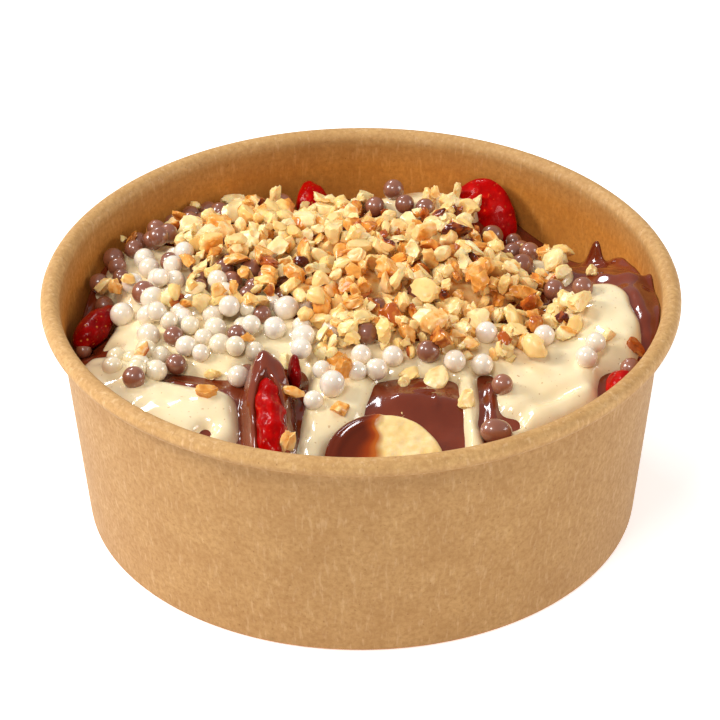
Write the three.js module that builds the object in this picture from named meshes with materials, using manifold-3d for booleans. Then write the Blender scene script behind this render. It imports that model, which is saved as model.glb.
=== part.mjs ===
// A paper dessert bowl filled with pancakes under milk and white chocolate sauce, topped with chopped
// nuts, chocolate pearls, strawberry pieces and a banana slice.
// Millimetres, +Z up, origin at the centre of the foot; -Y is the front.
import * as THREE from "three";
import { mergeVertices } from "three/addons/utils/BufferGeometryUtils.js";
import Module from "manifold-3d";

const wasm = await Module();
wasm.setup();

// ---- Driving dimensions of the bowl ----
const RIM_RADIUS = 75; // outside of the rolled rim
const BOWL_HEIGHT = 58;
const BASE_RADIUS = 65.5; // outside of the wall at the foot
const PAPER = 0.6;
const ROLL_RADIUS = 2.2; // outside of the rolled rim's curl
const FOOT_HEIGHT = 5.5; // crimped band that carries the base disc
const FOOT_WIDTH = 1.6;
const WALL_SIDES = 36;
const GAP = 0.3; // clearance between pieces that touch

// ---- Driving dimensions of the food ----
const BED_HEIGHT = 40.5; // top of the pancakes where they are lowest
const SAUCE_THICKNESS = 2.3;
const SAUCE_EDGE = 2.6; // width over which the white sauce thins out to its edge
const SAUCE_FLOW = 1.2; // how softly strokes of sauce run together
const HEAP_BARE = 0.8; // share of the nut heap's width that has no white sauce under it
const SURFACE_STEP = 5; // grid of the food's surfaces
const PEARL_RADIUS = 2.5;
const SMALLEST_NUT = 2;
const LARGEST_NUT = 3.6;
const NUT_BLOCK = 1.5; // length of a nut's block against its radius
const PEARL_BULGE = 1.1; // makes up for a pearl's flat faces
const PEARL_SUNK = 0.5; // height of a pearl's middle over what it lies on, as a share of its radius
const NUT_SUNK = 0.3;
const CROWDING = 0.95; // how near two toppings may come, as a share of touching
const TRIES = 30; // places tried for each topping
const FRUIT_SIDES = 10;
const FRUIT_RINGS = 7;
const BANANA_SIDES = 22;
const SEED = 20261;
const SLIVER = 0.01; // faces thinner than this are merged into their neighbours
const SCRAP_VOLUME = 60; // loose crumbs up to this size are dropped

const BASE_DISC_TOP = FOOT_HEIGHT + GAP + PAPER;
const WALL_TOP_RADIUS = RIM_RADIUS - 2 * ROLL_RADIUS; // inside of the wall under the rim
const CURL_RADIUS = RIM_RADIUS - ROLL_RADIUS; // from the axis to the middle of the curl
const CURL_HEIGHT = BOWL_HEIGHT - ROLL_RADIUS;

// ---- Food surface: humps as centre x, y, height, half width, half depth ----
const BED_HUMPS = [
  [2, 12, 8.5, 42, 36], // the mound of pancakes
  [64, -1, 9, 12, 17], // the pancake that leans on the right wall
  [48, 46, -8, 12, 12], // the hollow at the back right
  [-40, -35, 3, 12, 10], // front left lobe
  [-21.5, -34, 9, 5, 13], // chocolate over the front strawberry
  [13, -32, 3, 11, 7], // chocolate behind the banana
  [18, 57, 2.8, 12, 9], // lump at the back
  [-6, 69, -4, 30, 8], // where the food falls away from the back wall
  [-69, 11, -6.5, 6, 11], // dip beside the left strawberry
];

// Poured strokes of white sauce: from x, y to x, y, and half width.
const POURS = [
  [-50, 28, -55, 16, 11],
  [-45, 16, -50, -12, 13],
  [-30, 8, -34, -8, 16],
  [-59, -14, -53, -26, 8],
  [-50, -31, -34, -38, 9.5],
  [-22, -6, 0, -12, 10],
  [-4, -20, -9, -60, 7.5],
  [-4, -17, 42, -14, 8],
  [24.9, -20, 25.2, -62, 2.8],
  [36, -28, 34, -31, 5.5],
  [43, -20, 53, -18, 9],
  [34, -42.5, 41, -35.5, 2.3],
  [41, -35.5, 53, -27.5, 3.4],
  [54.2, 0.5, 56.2, -13, 9],
  [40, 27, 46, 20, 5],
  [10, 57, 22, 54, 7.5],
];

// Where the milk chocolate and the fruit show through the white sauce, as strokes too.
const WINDOWS = [
  [-22.7, -22, -21.7, -60, 5.8],
  [11.5, -36.5, 13, -37, 9.5],
  [5.8, -53, 7, -53, 14.5],
  [14, -45, 14.5, -58, 8.5],
  [-45, -19.5, -29, -25.5, 2.4],
  [28.8, -22, 29.5, -38, 1.7],
  [30, -38.5, 34, -38.5, 1.7],
  [57.5, -24, 57, -33, 2.5],
  [62, -27, 62, -34, 5],
  [-66, 14, -69, 1, 7],
  [-64.3, 5, -71.9, -11, 5.6],
];

// Nut heaps: centre x, y, half width, half depth, height.
const HEAPS = [
  [10, 18, 41, 35, 7.5],
  [-27, 33, 26, 23, 6],
];

// ---- Fruit: size as half length, half width, half depth and taper; turns about X, Y and Z in degrees ----
const STRAWBERRIES = {
  strawberry_front: { size: [14.5, 3.7, 4.8, 0.12], at: [-21, -42.5, 47.6], turns: [12, 0, 4] },
  strawberry_sliver: { size: [4.6, 1.4, 3, 0.1], at: [-15.4, -24.6, 49.4], turns: [30, 12, 12] },
  strawberry_left: { size: [8.4, 4, 3.4, 0.2], at: [-62.8, 3.6, 44.4], turns: [6, -30, -29] },
  strawberry_back_right: { size: [9.5, 10.5, 3.2, 0.25], at: [29.4, 55.6, 42.8], turns: [60, 0, -30] },
  strawberry_back: { size: [5, 3.9, 3.8, 0.2], at: [-12, 61.5, 44], turns: [40, 0, 10] },
  strawberry_right: { size: [5.4, 4, 4.2, 0.2], at: [60.4, -27, 46], turns: [10, 0, 25] },
};
const BANANA = { radius: 13.5, halfThickness: 3.2, bevel: 0.9, tilt: 24, at: [5.2, -54.3, 42.4] };

// ---- Small toppings, in patches: centre x, y, half width, half depth, number ----
const WHITE_PEARLS = [
  [-6.7, -29.4, 1, 1, 1],
  [-32, -3, 26, 14, 31],
  [-51, -19, 8, 6, 5],
  [-43, 21, 13, 8, 6],
  [6, -15, 20, 3.5, 6],
  [36, -12, 8, 4, 3],
  [52, -17.5, 2.5, 2, 2],
];
const MILK_PEARLS = [
  [-52, 11, 2, 2, 1],
  [-40, -9, 8, 7, 3],
  [-53, -25, 1, 1, 1],
  [-30, 6, 8, 6, 4],
  [-29, -10, 1, 1, 1],
  [-63, 15, 3, 3, 2],
  [-66, -3, 1, 2, 1],
  [-56, 36, 6, 6, 4],
  [-38, 58, 12, 4, 5],
  [9, 52, 6, 4, 4],
  [37, 41, 6, 5, 3],
  [46, 8, 2, 2, 1],
  [52, 4, 1, 1, 1],
  [32.5, -25, 1, 1, 1],
  [29.8, -41.5, 1, 1, 1],
  [61, -18, 1, 1, 1],
  [15.5, -18, 1, 1, 1],
];
const NUTS = [
  [10, 20, 38, 31, 72],
  [-27, 33, 26, 21, 24],
  [45, -4, 8, 7, 8],
  [-22, 6, 16, 9, 7],
  [-59, 22, 3, 3, 2],
  [-57, 38, 4, 3, 2],
  [10, -19, 10, 3, 3],
  [25, -27, 1, 1, 1],
  [-12, -24, 2, 2, 1],
  [54, -7, 2, 2, 1],
  [-60, -17, 1, 2, 1],
  [18, 57, 8, 3, 3],
];

const COLOURS = {
  kraft: { color: 0xc29660, roughness: 0.6 },
  milkChocolate: { color: 0x6b3420, roughness: 0.25 },
  whiteChocolate: { color: 0xf0dcae, roughness: 0.3 },
  nut: { color: 0xe3b56c, roughness: 0.55 },
  strawberry: { color: 0xb80f0c, roughness: 0.25 },
  banana: { color: 0xf3dca0, roughness: 0.4 },
};

const group = new THREE.Group();

// Adds one named piece to the group.
function addPiece(name, geometry, finish) {
  const material = new THREE.MeshStandardMaterial({ metalness: 0, ...finish });
  const mesh = new THREE.Mesh(geometry, material);
  mesh.name = name;
  group.add(mesh);
}

// ---- Seeded random numbers ----
let randomState = SEED;
function random() {
  randomState = (randomState * 1664525 + 1013904223) % 2 ** 32;
  return randomState / 2 ** 32;
}
const between = (low, high) => low + (high - low) * random();

// ---- From three.js geometry to closed solids and back ----
function solidOf(geometry, matrix = new THREE.Matrix4()) {
  const bare = geometry.clone().applyMatrix4(matrix);
  bare.deleteAttribute("normal");
  bare.deleteAttribute("uv");
  const merged = mergeVertices(bare, 1e-4);
  const corners = Array.from(merged.index.array);
  const faces = [];
  for (let i = 0; i < corners.length; i += 3) {
    const [a, b, c] = corners.slice(i, i + 3);
    if (a !== b && b !== c && c !== a) faces.push(a, b, c);
  }
  return new wasm.Manifold(
    new wasm.Mesh({
      numProp: 3,
      vertProperties: new Float32Array(merged.attributes.position.array),
      triVerts: new Uint32Array(faces),
    }),
  );
}

function geometryOf(solid) {
  const mesh = solid.getMesh();
  const geometry = new THREE.BufferGeometry();
  geometry.setAttribute("position", new THREE.BufferAttribute(mesh.vertProperties, mesh.numProp));
  geometry.setIndex(new THREE.BufferAttribute(mesh.triVerts, 1));
  return geometry;
}

// Bodies from large to small, without loose scraps and with the hollows that fusing sealed filled.
function bodiesOf(solid) {
  const bodies = solid.decompose().filter((body) => body.volume() > SCRAP_VOLUME);
  return bodies.sort((a, b) => b.volume() - a.volume());
}

const raised = (solid, height) => solid.translate([0, 0, height]);

// A profile of [radius, height] points turned about Z.
function turned(profile) {
  const points = profile.map(([radius, height]) => new THREE.Vector2(radius, height));
  return new THREE.LatheGeometry(points, WALL_SIDES).rotateX(Math.PI / 2);
}

// ---- The bowl: a paper wall with a rolled rim and a crimped foot, and a base disc ----
const WALL_SLOPE = (WALL_TOP_RADIUS - BASE_RADIUS + PAPER) / CURL_HEIGHT;
const innerRadius = (height) => BASE_RADIUS - PAPER + WALL_SLOPE * height;

function curlPoint(radius, degrees) {
  const angle = THREE.MathUtils.degToRad(degrees);
  return [CURL_RADIUS + radius * Math.cos(angle), CURL_HEIGHT + radius * Math.sin(angle)];
}

function makeBowlWall() {
  const underCurl = CURL_HEIGHT - GAP;
  const profile = [
    [BASE_RADIUS - FOOT_WIDTH, 0],
    [BASE_RADIUS, 0],
    [innerRadius(underCurl) + PAPER, underCurl],
  ];
  for (const degrees of [155, 75, 0, -75, -140])
    profile.push(curlPoint(ROLL_RADIUS - PAPER, degrees));
  for (const degrees of [-140, -95, -45, 0, 45, 90, 135, 180])
    profile.push(curlPoint(ROLL_RADIUS, degrees));
  profile.push([innerRadius(FOOT_HEIGHT), FOOT_HEIGHT]);
  profile.push([BASE_RADIUS - FOOT_WIDTH, FOOT_HEIGHT]);
  profile.push([BASE_RADIUS - FOOT_WIDTH, 0]);
  addPiece("bowl_wall", geometryOf(solidOf(turned(profile))), COLOURS.kraft);
}

function makeBowlBase() {
  const radius = innerRadius(FOOT_HEIGHT) - GAP;
  const low = BASE_DISC_TOP - PAPER;
  const disc = turned([
    [0, low],
    [radius, low],
    [radius, BASE_DISC_TOP],
    [0, BASE_DISC_TOP],
  ]);
  addPiece("bowl_base", disc, COLOURS.kraft);
}

// The free inside of the bowl, clear of the paper, and open far above the rim.
function makeCavity() {
  const low = BASE_DISC_TOP + GAP;
  const top = 2 * BOWL_HEIGHT;
  const profile = [
    [0, low],
    [innerRadius(low) - GAP, low],
    [WALL_TOP_RADIUS - GAP, CURL_HEIGHT],
    [WALL_TOP_RADIUS - GAP, top],
    [0, top],
  ];
  return solidOf(turned(profile));
}

// ---- Heights of the food, as functions of the place in the bowl ----
function bedHeight(x, y) {
  let height = BED_HEIGHT;
  for (const [cx, cy, rise, halfX, halfY] of BED_HUMPS)
    height += rise * Math.exp(-0.5 * (((x - cx) / halfX) ** 2 + ((y - cy) / halfY) ** 2));
  return height;
}

// How far inside a stroke a place is; negative outside it.
function depthInStroke(x, y, [ax, ay, bx, by, halfWidth]) {
  const [dx, dy] = [bx - ax, by - ay];
  const along = ((x - ax) * dx + (y - ay) * dy) / (dx * dx + dy * dy);
  const t = THREE.MathUtils.clamp(along, 0, 1);
  return halfWidth - Math.hypot(x - ax - t * dx, y - ay - t * dy);
}

// The largest of some depths, flowing softly from one to the next.
function flowTogether(depths) {
  const largest = Math.max(...depths);
  const sum = depths.reduce((total, depth) => total + Math.exp((depth - largest) / SAUCE_FLOW), 0);
  return largest + SAUCE_FLOW * Math.log(sum);
}

// How far inside the white sauce's outline a place is; negative outside it.
function sauceDepth(x, y) {
  const poured = flowTogether(POURS.map((stroke) => depthInStroke(x, y, stroke)));
  const windows = WINDOWS.map((stroke) => depthInStroke(x, y, stroke));
  const [cx, cy, halfX, halfY] = HEAPS[0];
  const underHeap = (HEAP_BARE - Math.hypot((x - cx) / halfX, (y - cy) / halfY)) * halfY;
  return -flowTogether([-poured, underHeap, ...windows]);
}

// Thickness of the white sauce; outside it the surface dips below the pancakes.
function sauceThickness(x, y) {
  const depth = sauceDepth(x, y);
  return SAUCE_THICKNESS * THREE.MathUtils.clamp(depth / SAUCE_EDGE, -1, 1);
}

const sauceHeight = (x, y) => bedHeight(x, y) + sauceThickness(x, y);
const coverHeight = (x, y) => bedHeight(x, y) + Math.max(0, sauceThickness(x, y));

function heapThickness(x, y) {
  const heights = HEAPS.map(
    ([cx, cy, halfX, halfY, height]) =>
      height * (1 - ((x - cx) / halfX) ** 2 - ((y - cy) / halfY) ** 2),
  );
  return Math.max(...heights);
}

const heapHeight = (x, y) => coverHeight(x, y) + heapThickness(x, y);

// A square block over the whole bowl whose top follows a height function.
function blockUnder(heightAt) {
  const cells = Math.ceil((2 * RIM_RADIUS) / SURFACE_STEP);
  const size = cells * SURFACE_STEP;
  const block = new THREE.BoxGeometry(size, size, 1, cells, cells, 1);
  const place = block.attributes.position;
  for (let i = 0; i < place.count; i++) {
    const isTop = place.getZ(i) > 0;
    place.setZ(i, isTop ? heightAt(place.getX(i), place.getY(i)) : 0);
  }
  return solidOf(block);
}

// ---- Fruit ----
// Places a piece by its centre and its turns about X, Y and Z.
function placing([x, y, z], turns) {
  const euler = new THREE.Euler(...turns.map(THREE.MathUtils.degToRad), "ZYX");
  return new THREE.Matrix4().makeRotationFromEuler(euler).setPosition(x, y, z);
}

// An egg shape along Y, narrower at its +Y end.
function strawberrySolid({ size, at, turns }, grown) {
  const [halfLength, halfWidth, halfDepth, taper] = size;
  const egg = new THREE.SphereGeometry(1, FRUIT_SIDES, FRUIT_RINGS);
  const place = egg.attributes.position;
  for (let i = 0; i < place.count; i++) {
    const along = place.getY(i);
    const width = 1 - taper * along;
    const x = place.getX(i) * (halfWidth * width + grown);
    const z = place.getZ(i) * (halfDepth * width + grown);
    place.setXYZ(i, x, along * (halfLength + grown), z);
  }
  return solidOf(egg, placing(at, turns));
}

// A round slice with bevelled edges, tilted towards the front of the bowl.
function bananaSolid(grown) {
  const { radius, halfThickness, bevel, tilt, at } = BANANA;
  const outer = radius + grown;
  const top = halfThickness + grown;
  const profile = [
    [0, -top],
    [outer - bevel, -top],
    [outer, bevel - top],
    [outer, top - bevel],
    [outer - bevel, top],
    [0, top],
  ];
  const points = profile.map(([r, height]) => new THREE.Vector2(r, height));
  const slice = new THREE.LatheGeometry(points, BANANA_SIDES);
  return solidOf(slice, placing(at, [90 + tilt, 0, 0]));
}

// ---- Small toppings ----
const placed = []; // every small topping so far, as centre and radius

const isFree = (x, y, radius) =>
  placed.every((other) => Math.hypot(x - other.x, y - other.y) > CROWDING * (radius + other.radius));

const isInside = (x, y, radius, height) =>
  Math.hypot(x, y) + radius + 2 * GAP < innerRadius(height) * Math.cos(Math.PI / WALL_SIDES);

function pearlSolid({ x, y, z, radius }) {
  const pearl = new THREE.IcosahedronGeometry(radius * PEARL_BULGE, 0);
  return solidOf(pearl, new THREE.Matrix4().setPosition(x, y, z));
}

// A chopped nut: an uneven block, no corner of which reaches past the radius.
function nutSolid({ x, y, z, radius }) {
  const chip = new THREE.BoxGeometry(NUT_BLOCK, between(1.1, 1.4), between(0.8, 1.2));
  chip.deleteAttribute("normal");
  chip.deleteAttribute("uv");
  const block = mergeVertices(chip);
  const place = block.attributes.position;
  for (let i = 0; i < place.count; i++) {
    const reach = radius * between(0.7, 1);
    place.setXYZ(i, place.getX(i) * reach, place.getY(i) * reach, place.getZ(i) * reach);
  }
  return solidOf(block, placing([x, y, z], [between(-40, 40), between(-40, 40), between(0, 360)]));
}

const overlap = (a, b) => a.intersect(b).volume() > 0;

// The one node that a topping rests on; none if its halo, GAP wider, reaches another piece.
function carrierOf(solid, halo, nodes, fruits) {
  if (fruits.some((fruit) => overlap(fruit.solid, halo))) return undefined;
  const reached = nodes.filter(({ core }) => overlap(core, halo));
  return reached.length === 1 && overlap(reached[0].core, solid) ? reached[0] : undefined;
}

// Throws toppings at random into a patch, the largest first, and fuses each one that finds room.
function scatter([cx, cy, halfX, halfY, count], kind, nodes, fruits) {
  const { makeSolid, largest, smallest, sink } = kind;
  let found = 0;
  for (let tries = 0; tries < TRIES * count && found < count; tries++) {
    const radius = largest + ((smallest - largest) * found) / count;
    const angle = between(0, 2 * Math.PI);
    const reach = Math.sqrt(random());
    const x = cx + halfX * reach * Math.cos(angle);
    const y = cy + halfY * reach * Math.sin(angle);
    const z = Math.max(coverHeight(x, y), heapHeight(x, y)) + sink * radius;
    if (!isFree(x, y, radius) || !isInside(x, y, radius, z)) continue;
    const solid = makeSolid({ x, y, z, radius });
    const halo = pearlSolid({ x, y, z, radius: radius + GAP });
    const carrier = carrierOf(solid, halo, nodes, fruits);
    if (!carrier) continue;
    placed.push({ x, y, radius });
    carrier.toppings.push(solid);
    found++;
  }
}

// ---- The food ----
function makeFruits() {
  const fruits = Object.entries(STRAWBERRIES).map(([name, fruit]) => ({
    name,
    finish: COLOURS.strawberry,
    solid: strawberrySolid(fruit, 0),
    halo: strawberrySolid(fruit, GAP),
  }));
  fruits.push({
    name: "banana_slice",
    finish: COLOURS.banana,
    solid: bananaSolid(0),
    halo: bananaSolid(GAP),
  });
  return fruits;
}

// Pancakes, white sauce and nut heap, each cut GAP clear of what it lies on and of the fruit.
function makeCores(cavity, fruits) {
  const room = cavity.subtract(wasm.Manifold.union(fruits.map((fruit) => fruit.halo)));
  const bedBlock = blockUnder(bedHeight);
  const sauceBlock = blockUnder(sauceHeight);
  const aboveBed = room.subtract(raised(bedBlock, GAP));
  const aboveSauce = aboveBed.subtract(raised(sauceBlock, GAP));
  const [pancakes] = bodiesOf(room.intersect(bedBlock));
  const [whiteSauce, backSauce] = bodiesOf(aboveBed.intersect(sauceBlock));
  const [heap] = bodiesOf(aboveSauce.intersect(blockUnder(heapHeight)));
  const core = (name, solid, finish) => ({ name, core: solid, finish, toppings: [] });
  return [
    core("pancakes", pancakes, COLOURS.milkChocolate),
    core("white_sauce", whiteSauce, COLOURS.whiteChocolate),
    core("white_sauce_back", backSauce, COLOURS.whiteChocolate),
    core("nut_heap", heap, COLOURS.nut),
  ];
}

function makeFood() {
  const cavity = makeCavity();
  const fruits = makeFruits();
  for (const { name, solid, finish } of fruits)
    addPiece(name, geometryOf(bodiesOf(solid.intersect(cavity))[0]), finish);

  const nodes = makeCores(cavity, fruits);
  const pearl = { makeSolid: pearlSolid, largest: PEARL_RADIUS, smallest: PEARL_RADIUS, sink: PEARL_SUNK };
  const nut = { makeSolid: nutSolid, largest: LARGEST_NUT, smallest: SMALLEST_NUT, sink: NUT_SUNK };
  for (const patch of [...MILK_PEARLS, ...WHITE_PEARLS]) scatter(patch, pearl, nodes, fruits);
  for (const patch of NUTS) scatter(patch, nut, nodes, fruits);
  for (const { name, core, finish, toppings } of nodes) {
    const fused = wasm.Manifold.union([core, ...toppings]);
    addPiece(name, geometryOf(bodiesOf(fused)[0].simplify(SLIVER)), finish);
  }
}

makeBowlWall();
makeBowlBase();
makeFood();

export default group;
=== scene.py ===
"""A paper dessert bowl filled with pancakes under milk and white chocolate sauce, topped with chopped
nuts, chocolate pearls, strawberry pieces and a banana slice. Lengths are in millimetres up to the
point where a mesh is made; -Y is the front."""

import math
from functools import partial

import bmesh
import bpy
import numpy as np
from mathutils import Euler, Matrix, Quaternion, Vector


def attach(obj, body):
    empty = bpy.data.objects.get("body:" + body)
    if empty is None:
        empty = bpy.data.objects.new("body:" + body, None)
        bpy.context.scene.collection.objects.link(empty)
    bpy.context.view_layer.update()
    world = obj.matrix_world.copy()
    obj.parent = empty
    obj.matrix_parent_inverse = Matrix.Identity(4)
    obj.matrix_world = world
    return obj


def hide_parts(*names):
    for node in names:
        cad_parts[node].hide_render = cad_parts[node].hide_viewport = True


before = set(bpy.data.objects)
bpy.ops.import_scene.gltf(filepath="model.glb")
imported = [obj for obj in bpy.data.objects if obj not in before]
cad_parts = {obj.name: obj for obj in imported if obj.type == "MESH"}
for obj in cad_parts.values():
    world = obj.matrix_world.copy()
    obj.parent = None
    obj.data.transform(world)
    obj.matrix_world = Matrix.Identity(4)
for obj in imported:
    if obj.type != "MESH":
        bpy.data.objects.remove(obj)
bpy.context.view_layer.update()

MM = 0.001
SEED = 20261

# How the light inside the bowl and on its rim changes the paper's colour.
INNER_TINT = (1.26, 0.9, 0.4, 1.0)
RIM_TINT = (1.32, 1.41, 1.58, 1.0)

# ---- Bowl ----
RIM_RADIUS = 75.0
BOWL_HEIGHT = 58.0
BASE_RADIUS = 65.5
PAPER = 0.6
ROLL_RADIUS = 2.2
FOOT_HEIGHT = 5.5
FOOT_WIDTH = 1.6
FOOT_ROUNDING = 0.3
GAP = 0.3
BASE_DISC_TOP = FOOT_HEIGHT + GAP + PAPER
WALL_TOP_RADIUS = RIM_RADIUS - 2 * ROLL_RADIUS
CURL_RADIUS = RIM_RADIUS - ROLL_RADIUS
CURL_HEIGHT = BOWL_HEIGHT - ROLL_RADIUS
WALL_SLOPE = (WALL_TOP_RADIUS - BASE_RADIUS + PAPER) / CURL_HEIGHT
FOOD_CLEARANCE = 0.1
BOWL_SEGMENTS = 320
BOWL_CREASE = 50
BOWL_UNEVENNESS = 0.12
# Degrees round the roll where its inner face leaves the wall and where its paper ends.
ROLL_START = 155
ROLL_END = -140
# Where the tint of the rim comes in, above the roll's centre, and that of the inside, below it.
RIM_FADE = (-1.2, 0.6)
INSIDE_FADE = (0.4, 2.9)
# How far past the even inner face a point may lie and still take the inside's tint.
INSIDE_MARGIN = 0.35

# ---- Food surface ----
BED_HEIGHT = 40.5
RINGS = 145
AZIMUTHS = 600
# Humps of the pancakes: centre x, y, height, half width, half depth.
BED_HUMPS = (
    (2, 12, 8.5, 42, 36),
    (64, -1, 9, 12, 17),
    (48, 46, -8, 12, 12),
    (-40, -35, 3, 12, 10),
    (13, -32, 3, 11, 7),
    (18, 57, 2.8, 12, 9),
    (-6, 69, -4, 30, 8),
    (-69, 11, -6.5, 6, 11),
)
# The chocolate hood over the front strawberry, from its tip to its toe: how far from the tip it has its
# full width and its full height, how much of that it loses by the toe, and its slot.
HOOD_TIP = (-22.6, -19.0)
HOOD_TOE = (-19.6, -66.0)
HOOD_HEIGHT = 9.8
HOOD_HALF_WIDTH = 6.2
HOOD_POINT = 17.0
HOOD_STEEP = 6.0
HOOD_FALL = 0.42
SLOT_START = 11.5
SLOT_HALF_WIDTH = 2.9
SLOT_DEPTH = 2.6
SLOT_OPENING = 9.0
# Folds in the milk chocolate: from x, y to x, y, half width and height.
FOLDS = (
    (40, 31, 60, 22, 3.2, 1.7),
    (47, 24, 66, 12, 2.6, 1.4),
    (64, 14, 67, -12, 2.6, 1.5),
    (-62, 0, -50, -14, 3.0, 0.8),
    (30, -25, 30, -41, 1.5, 1.1),
    (9, -33, 22, -34, 3.0, 1.0),
    (-18.6, -21.5, -16.9, -31, 1.5, 3.2),
    (17.0, -31.5, 17.2, -34.5, 0.8, 0.5),
    (12.5, -30.2, 16.5, -29.4, 0.8, 0.45),
    (-24.4, -27, -26.4, -38, 0.7, 0.5),
    (-44, -21.5, -38, -23.5, 1.0, 0.5),
    (22.5, 51.5, 24.5, 47.5, 2.0, 3.2),
)
# Where chocolate climbs the wall: azimuth, rise, half width in degrees and reach in from the wall.
SPLASHES = (
    (34, 6.4, 2.2, 1.5),
    (25.5, 3.0, 4.5, 2.6),
    (18.5, 1.0, 3.0, 2.5),
    (10.5, 2.8, 2.8, 2.4),
    (-3, 1.2, 6.0, 2.6),
    (160, 1.5, 12.0, 1.8),
    (200, 2.0, 9.0, 2.0),
)
# How far it climbs the wall all round.
WALL_CLIMB = 0.5
# Poured strokes of white sauce: from x, y to x, y, and half width.
POURS = (
    (-50, 28, -55, 16, 11),
    (-45, 16, -50, -12, 13),
    (-30, 8, -34, -8, 16),
    (-59, -14, -53, -26, 8),
    (-50, -31, -34, -38, 9.5),
    (-22, -6, 0, -12, 10),
    (-4, -20, -9, -60, 7.5),
    (-4, -17, 42, -14, 8),
    (24.9, -20, 25.2, -62, 2.8),
    (36, -28, 34, -31, 5.5),
    (43, -20, 53, -18, 9),
    (34, -42.5, 41, -35.5, 2.3),
    (41, -35.5, 53, -27.5, 3.4),
    (54.2, 0.5, 56.2, -13, 9),
    (40, 27, 46, 20, 5),
    (10, 57, 22, 54, 7.5),
)
# Where the milk chocolate and the fruit show through it.
WINDOWS = (
    (-22.7, -22, -21.7, -60, 5.8),
    (11.5, -36.5, 13, -37, 9.5),
    (5.8, -53, 7, -53, 14.5),
    (14, -45, 14.5, -58, 8.5),
    (-45, -19.5, -29, -25.5, 2.4),
    (28.8, -22, 29.5, -38, 1.7),
    (30, -38.5, 34, -38.5, 1.7),
    (57.5, -24, 57, -33, 2.5),
    (62, -27, 62, -34, 5),
    (-66, 14, -69, 1, 7),
    (-64.3, 5, -71.9, -11, 5.6),
    (-60.2, -7.5, -58.4, -7.1, 1.4),
    (22, 52, 25, 47, 2.4),
    (-36.3, -43.2, -35.7, -42.2, 1.3),
)
SAUCE_THICKNESS = 2.5
SAUCE_ROUNDING = 1.1
SAUCE_FLOW = 1.2
SAUCE_CROWN = 0.9
CROWN_REACH = 6
SAUCE_DIP = 1.3
# The sauce that climbs a pearl: height and width.
PEARL_COLLAR = (0.35, 0.7)
# Nut heaps: centre x, y, half width, half depth, height.
HEAPS = (
    (10, 18, 41, 35, 7.5),
    (-27, 33, 26, 23, 6),
)
HEAP_BARE = 0.8
HEAP_CORE_DROP = 3.6

# ---- Toppings ----
PILE_CELL = 0.6
SETTLING = 0.94
WALL_MARGIN = 0.25
# Scattered pearls: mean radius, its spread, the smallest and the largest.
PEARL_RADIUS = (2.45, 0.22, 1.9, 2.9)
# How near two of them may be, where 1 is touching from the side: most of them, and the rest.
PEARLS_APART = 0.96
PEARLS_CROWDED = 0.75
APART_SHARE = 0.85
PEARL_TRIES = 60
# Pearls that stand out: x, y, radius, share of the height that is sunk, and stretch of the uneven ones.
WHITE_PEARLS = (
    (-56.5, 4.0, 2.9, 0.12), (-50.4, 1.1, 2.5, 0.15), (-52.1, 27.2, 2.6, 0.1), (-48.4, 16.4, 2.5, 0.1),
    (-44.2, 14.1, 2.4, 0.1), (-49.8, -7.4, 2.8, 0.15), (-41.9, -2.3, 2.6, 0.05),
    (-28.4, -24.1, 2.6, 0.1), (-20.2, -9.4, 2.7, 0.05), (-17.6, -1.4, 2.8, 0.0, 1.1),
    (-13.4, -13.4, 2.85, 0.05), (-13.9, -18.6, 2.5, 0.05), (-6.7, -31.8, 2.9, 0.05, 1.18),
    (-11.0, -35.2, 2.3, 0.12), (-9.1, -25.0, 2.2, 0.1), (-1.0, -25.8, 2.3, 0.1), (3.5, -24.6, 2.6, 0.1),
    (0.0, -20.0, 2.4, 0.05), (7.3, -20.7, 2.5, 0.05), (21.6, -21.5, 2.6, 0.1), (28.0, -20.6, 2.6, 0.1),
    (29.2, -11.2, 2.6, 0.0), (42.6, -12.9, 2.5, 0.0), (52.1, -20.7, 2.6, 0.1), (54.2, -18.8, 2.4, 0.2),
)
MILK_PEARLS = (
    (-65.4, 11.0, 2.0, 0.1), (-61.4, 15.2, 2.3, 0.1), (-65.4, -3.4, 1.9, 0.0), (-51.5, 9.9, 2.9, 0.0),
    (-45.7, 22.4, 2.4, 0.0), (-59.7, 30.0, 2.6, 0.1), (-43.8, -9.0, 2.4, 0.1),
    (-43.0, -17.6, 2.4, 0.1, 1.05), (-52.4, -25.9, 2.7, 0.1), (-28.9, -10.7, 2.4, 0.1),
    (-26.4, -19.6, 2.0, 0.3), (45.9, 9.3, 2.6, 0.0), (52.2, 2.6, 2.5, 0.1),
    (15.5, -19.4, 2.7, 0.1, 1.1), (32.4, -28.1, 2.5, 0.1), (30.6, -43.4, 2.9, 0.1, 1.3),
    (62.2, -22.4, 2.5, 0.1), (38.8, 24.5, 2.9, 0.0), (8.2, 55.0, 2.6, 0.0), (3.6, 50.8, 2.5, 0.0),
    (10.9, 49.4, 2.4, 0.0), (15.9, 47.8, 2.4, 0.0), (37.1, 34.6, 2.6, 0.0), (40.8, 31.2, 2.5, 0.0),
    (32.3, 36.5, 2.2, 0.0), (-50.3, 34.4, 2.5, 0.0), (-46.6, 33.6, 2.4, 0.0), (-38.4, 48.8, 2.5, 0.0),
    (-41.8, 46.2, 2.4, 0.0), (-34.6, 50.7, 2.4, 0.0), (-19.5, 57.5, 2.8, 0.0), (-58.6, 25.6, 2.3, 0.1),
)
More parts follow.
